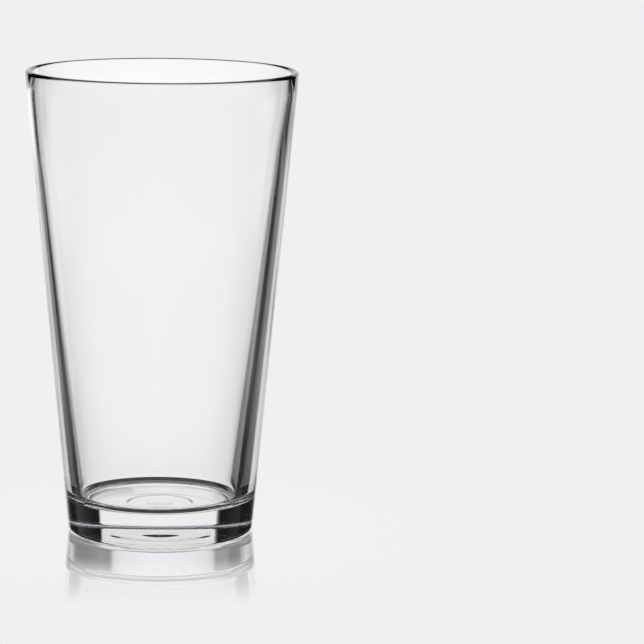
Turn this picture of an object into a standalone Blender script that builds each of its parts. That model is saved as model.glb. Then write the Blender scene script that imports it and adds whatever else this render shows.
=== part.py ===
"""Pint glass: a tapered tumbler pressed in one piece, with a thick base.

Metres, +Z up. The origin is the centre of the foot, on the surface the glass stands on.
"""
import math

import bmesh
import bpy

# Driving dimensions
HEIGHT = 0.1524                 # foot to top of the rim
RIM_RADIUS = 0.04445            # widest, just under the rim's crest
FOOT_RADIUS = 0.0304            # outer cone carried down to the standing surface
WALL_AT_RIM = 0.0022            # wall thickness at the rim, which is fully rounded
BORE_RADIUS_LOW = 0.02685       # inner cone at the height below
BORE_LOW_HEIGHT = 0.020
FLOOR_HEIGHT = 0.0107           # inner floor above the standing surface
FLOOR_FILLET = 0.0042           # round corner between inner floor and wall
HEEL_ROUND = 0.0020             # round corner between outer wall and foot
BEARING_INNER_RADIUS = 0.0262   # inner edge of the flat ring that the glass stands on
PUNT_STEP_WIDTH = 0.0016        # curved step from the bearing ring up to the punt
PUNT_STEP_HEIGHT = 0.0006
PUNT_DEPTH = 0.0008             # hollow of the underside at its centre
RING_RADIUS = 0.0108            # low round step that the mould leaves in the underside
RING_WIDTH = 0.0014
RING_HEIGHT = 0.00025
SPOT_RADIUS = 0.0055            # shallow swelling in the middle of the underside
SPOT_HEIGHT = 0.00045

# How finely the turned shape is cut
TURN_STEPS = 80
RIM_STEPS = 10
FILLET_STEPS = 7
HEEL_STEPS = 6
STEP_STEPS = 4
PUNT_STEPS = 20
WALL_STEPS = 6
MERGE_DISTANCE = 1e-6
CREASE_ANGLE = math.radians(50) # edges sharper than this stay creased in the shading

GLASS_COLOUR = (0.94, 0.96, 0.95, 0.3)
GLASS_ROUGHNESS = 0.03
GLASS_IOR = 1.52


def clear_scene():
    for item in list(bpy.data.objects):
        bpy.data.objects.remove(item, do_unlink=True)


def arc(centre, radius, start, end, steps):
    """Points (r, z) on a circle, from angle start to angle end in radians."""
    points = []
    for i in range(steps + 1):
        angle = start + (end - start) * i / steps
        points.append((centre[0] + radius * math.cos(angle), centre[1] + radius * math.sin(angle)))
    return points


def line(start, end, steps):
    """Points strictly between two ends, so that long walls are cut into even bands."""
    return [
        (start[0] + (end[0] - start[0]) * i / steps, start[1] + (end[1] - start[1]) * i / steps)
        for i in range(1, steps)
    ]


def wall_tilt(low, high):
    """Angle by which a wall through two points (r, z) leans out from the vertical."""
    return math.atan2(high[0] - low[0], high[1] - low[1])


def underside_height(radius, edge):
    """Height of the hollow underside: a flat dome, a round step in it and a spot at its centre."""
    height = PUNT_STEP_HEIGHT + (PUNT_DEPTH - PUNT_STEP_HEIGHT) * (1 - (radius / edge) ** 2)
    inward = min(1.0, max(0.0, (RING_RADIUS - radius) / RING_WIDTH + 0.5))
    height += RING_HEIGHT * inward * inward * (3 - 2 * inward)
    height -= SPOT_HEIGHT * max(0.0, 1 - (radius / SPOT_RADIUS) ** 2) ** 2
    return height


def glass_profile():
    """Half section from the inner floor's centre, over the rim, to the punt's centre."""
    crest_round = WALL_AT_RIM / 2
    crest = (RIM_RADIUS - crest_round, HEIGHT - crest_round)
    outer_tilt = wall_tilt((FOOT_RADIUS, 0.0), (RIM_RADIUS, crest[1]))
    inner_tilt = wall_tilt((BORE_RADIUS_LOW, BORE_LOW_HEIGHT), (crest[0] - crest_round, crest[1]))

    # the fillet's circle touches the inner floor and the inner cone
    fillet_z = FLOOR_HEIGHT + FLOOR_FILLET
    bore_at_fillet = BORE_RADIUS_LOW - (BORE_LOW_HEIGHT - fillet_z) * math.tan(inner_tilt)
    fillet_centre = (bore_at_fillet - FLOOR_FILLET / math.cos(inner_tilt), fillet_z)
    # the heel's circle touches the standing surface and the outer cone
    heel_at = FOOT_RADIUS + HEEL_ROUND * math.tan(outer_tilt)
    heel_centre = (heel_at - HEEL_ROUND / math.cos(outer_tilt), HEEL_ROUND)

    fillet = arc(fillet_centre, FLOOR_FILLET, -math.pi / 2, -inner_tilt, FILLET_STEPS)
    rim_inside = arc(crest, crest_round, math.pi - inner_tilt, math.pi / 2, RIM_STEPS // 2)
    rim_outside = arc(crest, crest_round, math.pi / 2, -outer_tilt, RIM_STEPS // 2)
    rim = rim_inside + rim_outside[1:]
    heel = arc(heel_centre, HEEL_ROUND, -outer_tilt, -math.pi / 2, HEEL_STEPS)

    step = []
    for i in range(STEP_STEPS + 1):
        share = i / STEP_STEPS
        ease = (1 - math.cos(math.pi * share)) / 2
        step.append((BEARING_INNER_RADIUS - PUNT_STEP_WIDTH * share, PUNT_STEP_HEIGHT * ease))
    punt_edge = BEARING_INNER_RADIUS - PUNT_STEP_WIDTH
    dome = []
    for i in range(1, PUNT_STEPS + 1):
        radius = punt_edge * (1 - i / PUNT_STEPS)
        dome.append((radius, underside_height(radius, punt_edge)))

    return (
        [(0.0, FLOOR_HEIGHT)]
        + fillet
        + line(fillet[-1], rim[0], WALL_STEPS)
        + rim
        + line(rim[-1], heel[0], WALL_STEPS)
        + heel
        + step
        + dome
    )


def turned_mesh(name, profile):
    """Spin the half section about +Z and close it at the axis."""
    shape = bmesh.new()
    verts = [shape.verts.new((r, 0.0, z)) for r, z in profile]
    edges = [shape.edges.new(pair) for pair in zip(verts, verts[1:])]
    bmesh.ops.spin(
        shape, geom=verts + edges, cent=(0, 0, 0), axis=(0, 0, 1),
        angle=2 * math.pi, steps=TURN_STEPS, use_duplicate=False,
    )
    bmesh.ops.remove_doubles(shape, verts=shape.verts, dist=MERGE_DISTANCE)
    bmesh.ops.recalc_face_normals(shape, faces=shape.faces)
    mesh = bpy.data.meshes.new(name)
    shape.to_mesh(mesh)
    shape.free()
    mesh.shade_smooth()
    mesh.set_sharp_from_angle(angle=CREASE_ANGLE)
    return mesh


def glass_material():
    material = bpy.data.materials.new("clear_soda_lime_glass")
    material.use_nodes = True
    shader = material.node_tree.nodes["Principled BSDF"]
    shader.inputs["Base Color"].default_value = GLASS_COLOUR
    shader.inputs["Roughness"].default_value = GLASS_ROUGHNESS
    shader.inputs["Metallic"].default_value = 0.0
    shader.inputs["IOR"].default_value = GLASS_IOR
    shader.inputs["Transmission Weight"].default_value = 1.0
    return material


def build_pint_glass():
    mesh = turned_mesh("pint_glass", glass_profile())
    mesh.materials.append(glass_material())
    glass = bpy.data.objects.new("pint_glass", mesh)
    bpy.context.scene.collection.objects.link(glass)
    return glass


clear_scene()
build_pint_glass()
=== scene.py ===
import math

import bpy
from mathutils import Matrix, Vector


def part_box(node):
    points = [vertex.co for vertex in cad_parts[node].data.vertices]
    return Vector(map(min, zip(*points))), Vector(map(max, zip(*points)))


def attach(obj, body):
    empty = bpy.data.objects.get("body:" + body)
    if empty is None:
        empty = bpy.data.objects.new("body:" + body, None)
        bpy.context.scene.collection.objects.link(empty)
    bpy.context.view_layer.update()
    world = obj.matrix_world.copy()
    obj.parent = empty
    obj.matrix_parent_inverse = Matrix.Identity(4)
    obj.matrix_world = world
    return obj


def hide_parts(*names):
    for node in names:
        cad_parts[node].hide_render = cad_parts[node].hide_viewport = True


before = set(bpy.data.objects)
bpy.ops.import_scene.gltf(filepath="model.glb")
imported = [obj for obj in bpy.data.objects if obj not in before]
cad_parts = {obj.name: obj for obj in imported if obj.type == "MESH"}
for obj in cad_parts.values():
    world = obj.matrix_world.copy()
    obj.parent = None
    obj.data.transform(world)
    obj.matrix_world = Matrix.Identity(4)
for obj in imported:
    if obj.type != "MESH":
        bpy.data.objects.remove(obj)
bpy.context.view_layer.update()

cadLow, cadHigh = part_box("pint_glass")
mm = 0.001
glassHeight = cadHigh.z - cadLow.z
rimRadius = cadHigh.x
print("frame loaded, glass is", round(glassHeight / mm, 1), "mm tall")


def linearFromHex(hexColour):
    # sRGB hex to the linear colour that shaders take
    channels = [int(hexColour[i:i + 2], 16) / 255 for i in (0, 2, 4)]
    return [c / 12.92 if c <= 0.04045 else ((c + 0.055) / 1.055) ** 2.4 for c in channels] + [1.0]


def grey(tone):
    return (tone, tone, tone, 1)


def addNode(tree, kind, settings=None, values=None, links=None, stops=()):
    # one node: its settings, its socket values, the sockets that feed it and a ramp's (position, tone) stops
    node = tree.nodes.new(kind)
    for name, value in (settings or {}).items():
        setattr(node, name, value)
    for name, value in (values or {}).items():
        node.inputs[name].default_value = value
    for name, source in (links or {}).items():
        tree.links.new(source, node.inputs[name])
    for i, (position, tone) in enumerate(stops):
        elements = node.color_ramp.elements
        if i == 0:
            elements.remove(elements[1])
        element = elements.new(position) if i else elements[0]
        element.position = position
        element.color = (*tone, 1) if isinstance(tone, tuple) else grey(tone)
    return node


def emptyMaterial(name):
    material = bpy.data.materials.new(name)
    material.use_nodes = True
    material.node_tree.nodes.clear()
    return material, material.node_tree


def activate(piece):
    bpy.ops.object.select_all(action="DESELECT")
    piece.select_set(True)
    bpy.context.view_layer.objects.active = piece


# The glass: one gob of molten glass pressed between a mould and a plunger

glassShape = {
    "footRadius": 30.4 * mm,        # outer cone carried down to the table
    "wallAtRim": 2.2 * mm,
    "cavityRadiusLow": 26.85 * mm,  # inner cone, at the height below
    "cavityLowHeight": 20.0 * mm,
    "floorHeight": 10.7 * mm,
    "floorFillet": 4.2 * mm,
    "heelRound": 2.0 * mm,
    "bearingInner": 26.2 * mm,      # the flat ring that the glass stands on starts here
    "puntStepWidth": 1.6 * mm,
    "puntStepHeight": 0.6 * mm,
    "puntDepth": 0.8 * mm,
    "ringRadius": 10.8 * mm,        # a shallow round step and a spot left in the underside by the mould
    "ringWidth": 1.4 * mm,
    "ringHeight": 0.25 * mm,
    "spotRadius": 5.5 * mm,
    "spotHeight": -0.45 * mm,
    "cavityOffset": -0.5 * mm,      # the plunger came down a little to one side
    "offsetFade": 30 * mm,          # the rim stays round, and the offset grows over this much wall
    # how finely each stretch of the outline and the turn are cut
    "floorSteps": 12,
    "filletSteps": 16,
    "wallSteps": 24,
    "rimSteps": 10,
    "heelSteps": 12,
    "puntStepSteps": 8,
    "puntSteps": 60,
    "turnSteps": 256,
    "mergeDistance": 0.002 * mm,
}


def arc(centre, radius, startAngle, endAngle, steps):
    points = []
    for i in range(steps + 1):
        angle = startAngle + (endAngle - startAngle) * i / steps
        points.append((centre[0] + radius * math.cos(angle), centre[1] + radius * math.sin(angle)))
    return points


def between(start, end, steps):
    # points strictly between two ends
    return [(start[0] + (end[0] - start[0]) * i / steps, start[1] + (end[1] - start[1]) * i / steps)
            for i in range(1, steps)]


def undersideOutline(shape):
    # from the flat ring, up a curved step, then a flat dome with a round step and a spot in it
    outline = []
    for i in range(shape["puntStepSteps"] + 1):
        share = i / shape["puntStepSteps"]
        ease = (1 - math.cos(math.pi * share)) / 2
        radius = shape["bearingInner"] - shape["puntStepWidth"] * share
        outline.append((radius, shape["puntStepHeight"] * ease))
    puntEdge = shape["bearingInner"] - shape["puntStepWidth"]
    for i in range(1, shape["puntSteps"] + 1):
        radius = puntEdge * (1 - i / shape["puntSteps"])
        rise = (shape["puntDepth"] - shape["puntStepHeight"]) * (1 - (radius / puntEdge) ** 2)
        inward = min(1.0, max(0.0, (shape["ringRadius"] - radius) / shape["ringWidth"] + 0.5))
        rise += shape["ringHeight"] * inward * inward * (3 - 2 * inward)
        rise += shape["spotHeight"] * max(0.0, 1 - (radius / shape["spotRadius"]) ** 2) ** 2
        outline.append((radius, shape["puntStepHeight"] + rise))
    return outline


def glassOutline(shape):
    # half section from the middle of the inner floor, over the rim, to the middle of the underside
    crestRound = shape["wallAtRim"] / 2
    crest = (rimRadius - crestRound, glassHeight - crestRound)
    outerTilt = math.atan2(rimRadius - shape["footRadius"], crest[1])
    innerTilt = math.atan2(crest[0] - crestRound - shape["cavityRadiusLow"],
                           crest[1] - shape["cavityLowHeight"])
    # the fillet's circle touches the inner floor and wall, the heel's touches the outer wall and the table
    fillet, heel = shape["floorFillet"], shape["heelRound"]
    filletZ = shape["floorHeight"] + fillet
    wallThere = shape["cavityRadiusLow"] - (shape["cavityLowHeight"] - filletZ) * math.tan(innerTilt)
    filletCentre = (wallThere - fillet / math.cos(innerTilt), filletZ)
    heelCentre = (shape["footRadius"] + heel * math.tan(outerTilt) - heel / math.cos(outerTilt), heel)

    floorMiddle = (0, shape["floorHeight"])
    floorDisc = between(floorMiddle, (filletCentre[0], shape["floorHeight"]), shape["floorSteps"])
    floorRound = arc(filletCentre, fillet, -math.pi / 2, -innerTilt, shape["filletSteps"])
    rimInside = arc(crest, crestRound, math.pi - innerTilt, math.pi / 2, shape["rimSteps"])
    rimOutside = arc(crest, crestRound, math.pi / 2, -outerTilt, shape["rimSteps"])
    heelRound = arc(heelCentre, heel, -outerTilt, -math.pi / 2, shape["heelSteps"])
    innerWall = between(floorRound[-1], rimInside[0], shape["wallSteps"])
    outerWall = between(rimOutside[-1], heelRound[0], shape["wallSteps"])
    return ([floorMiddle] + floorDisc + floorRound + innerWall + rimInside + rimOutside[1:]
            + outerWall + heelRound + undersideOutline(shape))


def turnGlass(shape):
    # a single point is extruded along the half section, which is spun round the axis
    outline = glassOutline(shape)
    bpy.ops.object.select_all(action="DESELECT")
    bpy.ops.mesh.primitive_plane_add(size=1 * mm, location=(outline[0][0], 0, outline[0][1]))
    glass = bpy.context.object
    glass.name = glass.data.name = "pressedPintGlass"
    bpy.ops.object.mode_set(mode="EDIT")
    bpy.ops.mesh.select_mode(type="VERT")
    bpy.ops.mesh.select_all(action="SELECT")
    bpy.ops.mesh.merge(type="CENTER")
    for here, there in zip(outline, outline[1:]):
        bpy.ops.mesh.extrude_region_move(
            TRANSFORM_OT_translate={"value": (there[0] - here[0], 0, there[1] - here[1])})
    bpy.ops.mesh.select_all(action="SELECT")
    bpy.ops.mesh.spin(steps=shape["turnSteps"], angle=2 * math.pi, center=(0, 0, 0), axis=(0, 0, 1))
    bpy.ops.mesh.select_all(action="SELECT")
    bpy.ops.mesh.remove_doubles(threshold=shape["mergeDistance"])
    bpy.ops.mesh.normals_make_consistent(inside=False)
    bpy.ops.object.mode_set(mode="OBJECT")
    bpy.ops.object.transform_apply(location=True, rotation=True, scale=True)
    bpy.ops.object.shade_smooth()
    return glass


def shiftCavity(glass, shape):
    # weights the inner surface, fading to nothing at the rim, and pushes it to one side
    group = glass.vertex_groups.new(name="innerWall")
    for vertex in glass.data.vertices:
        x, y, z = vertex.co
        # the two cones' radii at this height tell the inner wall from the outer one
        outer = shape["footRadius"] + (rimRadius - shape["footRadius"]) * z / glassHeight
        climb = (z - shape["cavityLowHeight"]) / (glassHeight - shape["cavityLowHeight"])
        inner = shape["cavityRadiusLow"] + (rimRadius - shape["wallAtRim"] - shape["cavityRadiusLow"]) * climb
        if z > shape["floorHeight"] - 0.5 * mm and math.hypot(x, y) < (outer + inner) / 2:
            fade = min(1.0, (glassHeight - z) / shape["offsetFade"])
            group.add([vertex.index], fade * fade * (3 - 2 * fade), "REPLACE")
    activate(glass)
    push = glass.modifiers.new("plunger set over", "DISPLACE")
    push.vertex_group = group.name
    push.direction = "X"
    push.mid_level = 0.0
    push.strength = shape["cavityOffset"]
    bpy.ops.object.modifier_apply(modifier=push.name)


glass = turnGlass(glassShape)
shiftCavity(glass, glassShape)
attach(glass, "root")
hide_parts("pint_glass")
print("glass turned,", len(glass.data.polygons), "faces")

# Soda-lime glass, pressed and fire-polished: clear, glossy, with a faint tint in its thick base

sodaLime = {
    "surface": "FFFFFF",
    "ior": 1.52,
    "absorption": "DDDCE4",
    "absorptionDensity": 6.3,       # per metre
    "rippleSize": 16 * mm,          # soft waves left where the mould chilled the skin
    "rippleStretch": 0.4,           # they run longer up the wall than round it
    "rippleHeight": 0.03 * mm,
    "peelSize": 2.5 * mm,           # finer orange peel from the mould's own surface
    "peelHeight": 0.0004 * mm,
    "smearSize": 7 * mm,            # faint handling marks over the fire-polished skin
    "smearRange": (0.52, 0.78),     # noise values where a smear starts and where it is dullest
    "smearRoughness": 0.02,
}


def sodaLimeGlass(look):
    material, tree = emptyMaterial("pressedSodaLimeGlass")
    place = addNode(tree, "ShaderNodeTexCoord")
    along = addNode(tree, "ShaderNodeMapping", values={"Scale": (1, 1, look["rippleStretch"])},
                    links={"Vector": place.outputs["Object"]})
    ripple = addNode(tree, "ShaderNodeTexNoise",
                     values={"Scale": 1 / look["rippleSize"], "Detail": 1.0, "Roughness": 0.3},
                     links={"Vector": along.outputs[0]})
    waves = addNode(tree, "ShaderNodeBump", values={"Strength": 1.0, "Distance": look["rippleHeight"]},
                    links={"Height": ripple.outputs[0]})
    peel = addNode(tree, "ShaderNodeTexNoise", values={"Scale": 1 / look["peelSize"], "Detail": 2.0},
                   links={"Vector": place.outputs["Object"]})
    skin = addNode(tree, "ShaderNodeBump", values={"Strength": 1.0, "Distance": look["peelHeight"]},
                   links={"Height": peel.outputs[0], "Normal": waves.outputs[0]})
    smears = addNode(tree, "ShaderNodeTexNoise",
                     values={"Scale": 1 / look["smearSize"], "Detail": 5.0, "Roughness": 0.6,
                             "Distortion": 1.5},
                     links={"Vector": place.outputs["Object"]})
    dullness = addNode(tree, "ShaderNodeMapRange",
                       values={"From Min": look["smearRange"][0], "From Max": look["smearRange"][1],
                               "To Min": 0.0, "To Max": look["smearRoughness"]},
                       links={"Value": smears.outputs[0]})
    shader = addNode(tree, "ShaderNodeBsdfPrincipled",
                     values={"Base Color": linearFromHex(look["surface"]), "IOR": look["ior"],
                             "Transmission Weight": 1.0},
                     links={"Roughness": dullness.outputs[0], "Normal": skin.outputs[0]})
    volume = addNode(tree, "ShaderNodeVolumeAbsorption",
                     values={"Color": linearFromHex(look["absorption"]),
                             "Density": look["absorptionDensity"]})
    addNode(tree, "ShaderNodeOutputMaterial",
            links={"Surface": shader.outputs[0], "Volume": volume.outputs[0]})
    return material


glass.data.materials.clear()
glass.data.materials.append(sodaLimeGlass(sodaLime))
print("glass material done")

# The camera stands a little above the rim and looks slightly down

cameraSetup = {
    "place": (0.0, -1106.0 * mm, 256.8 * mm),
    "turn": (80.407, -0.69, -2.619),
    "lens": 190.64,
    "sensor": 36,
    "clip": (0.01, 20),
}


def placeCamera(setup):
    cameraData = bpy.data.cameras.new("camera")
    cameraData.lens = setup["lens"]
    cameraData.sensor_width = setup["sensor"]
    cameraData.clip_start, cameraData.clip_end = setup["clip"]
    camera = bpy.data.objects.new("camera", cameraData)
    bpy.context.scene.collection.objects.link(camera)
    camera.location = setup["place"]
    camera.rotation_euler = [math.radians(angle) for angle in setup["turn"]]
    bpy.context.scene.camera = camera
    return camera


camera = placeCamera(cameraSetup)
print("camera placed")

# The studio: a pale glossy table top inside a light tent that turns with the camera

studio = {
    "paper": "F0F0F0",
    "floorSize": 6.0,
    "floorDrop": 0.02 * mm,         # keeps the table just clear of the glass
    # share of a mirror in the table: (distance from the glass's axis, share)
    "mirrorShares": [(45 * mm, 0.73), (68 * mm, 0.33), (110 * mm, 0.0)],
    # it mirrors only when seen from 6 to 24 degrees above the table, and fully from 12 to 15:
    # (how grazing the look is from 0 to 1, share)
    "sheenShares": [(0.6, 0.0), (0.74, 1.0), (0.8, 1.0), (0.9, 0.0)],
    "bounces": 24,
    "transmissionBounces": 20,
    "glossyBounces": 16,
}


def prepareScene(look):
    scene = bpy.context.scene
    scene.view_settings.view_transform = "Standard"
    scene.view_settings.look = "None"
    scene.cycles.max_bounces = look["bounces"]
    scene.cycles.transmission_bounces = look["transmissionBounces"]
    scene.cycles.glossy_bounces = look["glossyBounces"]
    world = bpy.data.worlds.new("paleRoom")
    scene.world = world
    world.use_nodes = True
    background = world.node_tree.nodes["Background"]
    background.inputs["Color"].default_value = linearFromHex(look["paper"])
    background.inputs["Strength"].default_value = 1.0


def floorMaterial(look):
    # evenly lit paper that turns into a mirror close round the glass, seen from low down
    material, tree = emptyMaterial("paleGlossyTable")
    place = addNode(tree, "ShaderNodeTexCoord")
    distance = addNode(tree, "ShaderNodeVectorMath", {"operation": "LENGTH"},
                       links={0: place.outputs["Object"]})
    reach = look["mirrorShares"][-1][0]
    outward = addNode(tree, "ShaderNodeMapRange", values={"From Min": 0, "From Max": reach},
                      links={"Value": distance.outputs["Value"]})
    nearness = addNode(tree, "ShaderNodeValToRGB", links={"Fac": outward.outputs[0]},
                       stops=[(radius / reach, share) for radius, share in look["mirrorShares"]])
    nearness.color_ramp.interpolation = "EASE"
    grazing = addNode(tree, "ShaderNodeLayerWeight", values={"Blend": 0.5})
    sheen = addNode(tree, "ShaderNodeValToRGB", links={"Fac": grazing.outputs["Facing"]},
                    stops=look["sheenShares"])
    share = addNode(tree, "ShaderNodeMath", {"operation": "MULTIPLY"},
                    links={0: nearness.outputs["Color"], 1: sheen.outputs["Color"]})
    paper = addNode(tree, "ShaderNodeEmission", values={"Color": linearFromHex(look["paper"])})
    mirror = addNode(tree, "ShaderNodeBsdfGlossy", values={"Color": grey(1.0), "Roughness": 0.0})
    mix = addNode(tree, "ShaderNodeMixShader",
                  links={0: share.outputs[0], 1: paper.outputs[0], 2: mirror.outputs[0]})
    addNode(tree, "ShaderNodeOutputMaterial", links={"Surface": mix.outputs[0]})
    return material


def layTable(look):
    bpy.ops.object.select_all(action="DESELECT")
    bpy.ops.mesh.primitive_plane_add(size=look["floorSize"], location=(0, 0, -look["floorDrop"]))
    table = bpy.context.object
    table.name = "table"
    table.data.materials.append(floorMaterial(look))
    table.visible_transmission = False      # rays through or off the glass go on to the tent below
    table.visible_glossy = False


prepareScene(studio)
layTable(studio)
print("table laid")

tent = {
    "radius": 2.8,
    "segments": 64,
    "rings": 32,
    "pitch": 13.07,                 # the camera looks down this many degrees, so the tent hangs level
    # brightness round the tent: (degrees from straight behind the glass with left negative, tone)
    "horizonRing": [(-180, 0.03), (-90, 0.03), (-80, 0.012), (-27, 0.012), (-25.5, 1.03), (0, 1.06),
                    (28, 1.03), (29.5, 0.012), (80, 0.012), (90, 0.03)],
    "lowRing": [(-180, 0.05), (-95, 0.05), (-85, 0.24), (-75, 0.62), (-65, 0.78), (-58, 0.8), (-51, 0.4),
                (-48, 0.13), (-44.5, 0.008), (-37, 0.008), (-34, 0.17), (-26, 0.18), (-24, 0.72), (-20, 0.9),
                (-14, 0.98), (-6, 1.045), (6, 1.045), (14, 0.98), (17, 0.94), (20, 0.84), (21.5, 0.66),
                (23, 0.07), (29, 0.12), (33, 0.06), (40, 0.008), (54, 0.006), (59, 0.32), (65, 0.88),
                (75, 0.63), (85, 0.47), (95, 0.05)],
    "steepRing": [(-180, 0.04), (-90, 0.04), (-80, 0.15), (-62, 0.35), (-56, 0.3), (-53, 0.12), (-50, 0.006),
                  (-26, 0.01), (-24, 0.6), (-20, 0.9), (-14, 0.98), (-6, 1.045), (6, 1.045), (14, 0.98),
                  (18, 0.9), (21, 0.7), (23, 0.01), (62, 0.006), (66, 0.2), (80, 0.15), (90, 0.04)],
    # how much of a ring is seen at each height: (degrees above the tent's horizon, share)
    "horizonBand": [(-90, 0), (-9.5, 0), (-8, 1), (90, 1)],
    "steepBand": [(-90, 1), (-16.5, 1), (-15, 0), (90, 0)],
    # a fade over all three rings: faintly lilac low down, dimmer above the horizon
    "fadeBand": [(-90, (0.94, 0.925, 0.95)), (-13.8, (0.94, 0.925, 0.95)), (-12.3, 1), (-8, 1), (-4.8, 0.965),
                 (-4.2, 0.965), (-3, 1), (2, 1), (5, 0.84), (16.5, 0.84), (18, 1), (90, 1)],
    # flat tones laid over the rings in turn, mostly gathered by the round parts of the base: (tone, band)
    "flatTones": [
        (0.03, [(-90, 1), (-60, 1), (-54, 0), (90, 0)]),                    # dark straight down
        (0.012, [(-90, 0), (-60, 0), (-54, 1), (-36, 1), (-35, 0), (90, 0)]),
        (0.03, [(-90, 0), (18, 0), (21, 1), (90, 1)]),
        (0.9, [(-90, 0), (35, 0), (39, 1), (90, 1)]),                       # the bright ceiling
    ],
}


def bandStops(stops, span):
    # degrees from the middle of a span turned to places along a colour ramp
    return [(angle / span + 0.5, tone) for angle, tone in stops]


def tentMaterial(look):
    # tones by direction: a bright backlight with soft edges, black flags and a dark room behind the camera
    material, tree = emptyMaterial("lightTent")
    place = addNode(tree, "ShaderNodeTexCoord")
    direction = addNode(tree, "ShaderNodeVectorMath", {"operation": "NORMALIZE"},
                        links={0: place.outputs["Object"]})
    axes = addNode(tree, "ShaderNodeSeparateXYZ", links={0: direction.outputs["Vector"]})
    heading = addNode(tree, "ShaderNodeMath", {"operation": "ARCTAN2"},
                      links={0: axes.outputs["X"], 1: axes.outputs["Y"]})
    around = addNode(tree, "ShaderNodeMapRange", values={"From Min": -math.pi, "From Max": math.pi},
                     links={"Value": heading.outputs[0]})
    tilt = addNode(tree, "ShaderNodeMath", {"operation": "ARCSINE"}, links={0: axes.outputs["Z"]})
    upDown = addNode(tree, "ShaderNodeMapRange", values={"From Min": -math.pi / 2, "From Max": math.pi / 2},
                     links={"Value": tilt.outputs[0]})

    ring, band = {}, {}
    for name in ("horizonRing", "lowRing", "steepRing"):
        ring[name] = addNode(tree, "ShaderNodeValToRGB", links={"Fac": around.outputs[0]},
                             stops=bandStops(look[name], 360))
    for name in ("horizonBand", "steepBand", "fadeBand"):
        band[name] = addNode(tree, "ShaderNodeValToRGB", links={"Fac": upDown.outputs[0]},
                             stops=bandStops(look[name], 180))
    glow = addNode(tree, "ShaderNodeMix", {"data_type": "RGBA"},
                   links={0: band["horizonBand"].outputs[0], 6: ring["lowRing"].outputs[0],
                          7: ring["horizonRing"].outputs[0]})
    glow = addNode(tree, "ShaderNodeMix", {"data_type": "RGBA"},
                   links={0: band["steepBand"].outputs[0], 6: glow.outputs[2],
                          7: ring["steepRing"].outputs[0]})
    glow = addNode(tree, "ShaderNodeMix", {"data_type": "RGBA", "blend_type": "MULTIPLY"}, {0: 1.0},
                   {6: glow.outputs[2], 7: band["fadeBand"].outputs[0]})
    for tone, stops in look["flatTones"]:
        cover = addNode(tree, "ShaderNodeValToRGB", links={"Fac": upDown.outputs[0]},
                        stops=bandStops(stops, 180))
        glow = addNode(tree, "ShaderNodeMix", {"data_type": "RGBA"}, {7: grey(tone)},
                       {0: cover.outputs[0], 6: glow.outputs[2]})
    light = addNode(tree, "ShaderNodeEmission", links={"Color": glow.outputs[2]})
    addNode(tree, "ShaderNodeOutputMaterial", links={"Surface": light.outputs[0]})
    return material


def hangTent(look):
    # a stand on the glass's axis turns to face the camera, and the tent hangs on it
    stand = bpy.data.objects.new("tentStand", None)
    bpy.context.scene.collection.objects.link(stand)
    track = stand.constraints.new("TRACK_TO")
    track.target = camera
    track.track_axis = "TRACK_NEGATIVE_Y"
    track.up_axis = "UP_Z"
    bpy.ops.object.select_all(action="DESELECT")
    bpy.ops.mesh.primitive_uv_sphere_add(segments=look["segments"], ring_count=look["rings"],
                                         radius=look["radius"], location=(0, 0, 0))
    dome = bpy.context.object
    dome.name = "lightTent"
    bpy.ops.object.shade_smooth()
    dome.data.materials.append(tentMaterial(look))
    dome.parent = stand
    dome.rotation_euler.x = math.radians(look["pitch"])
    dome.visible_camera = False
    dome.visible_shadow = False


hangTent(tent)
print("tent hung")
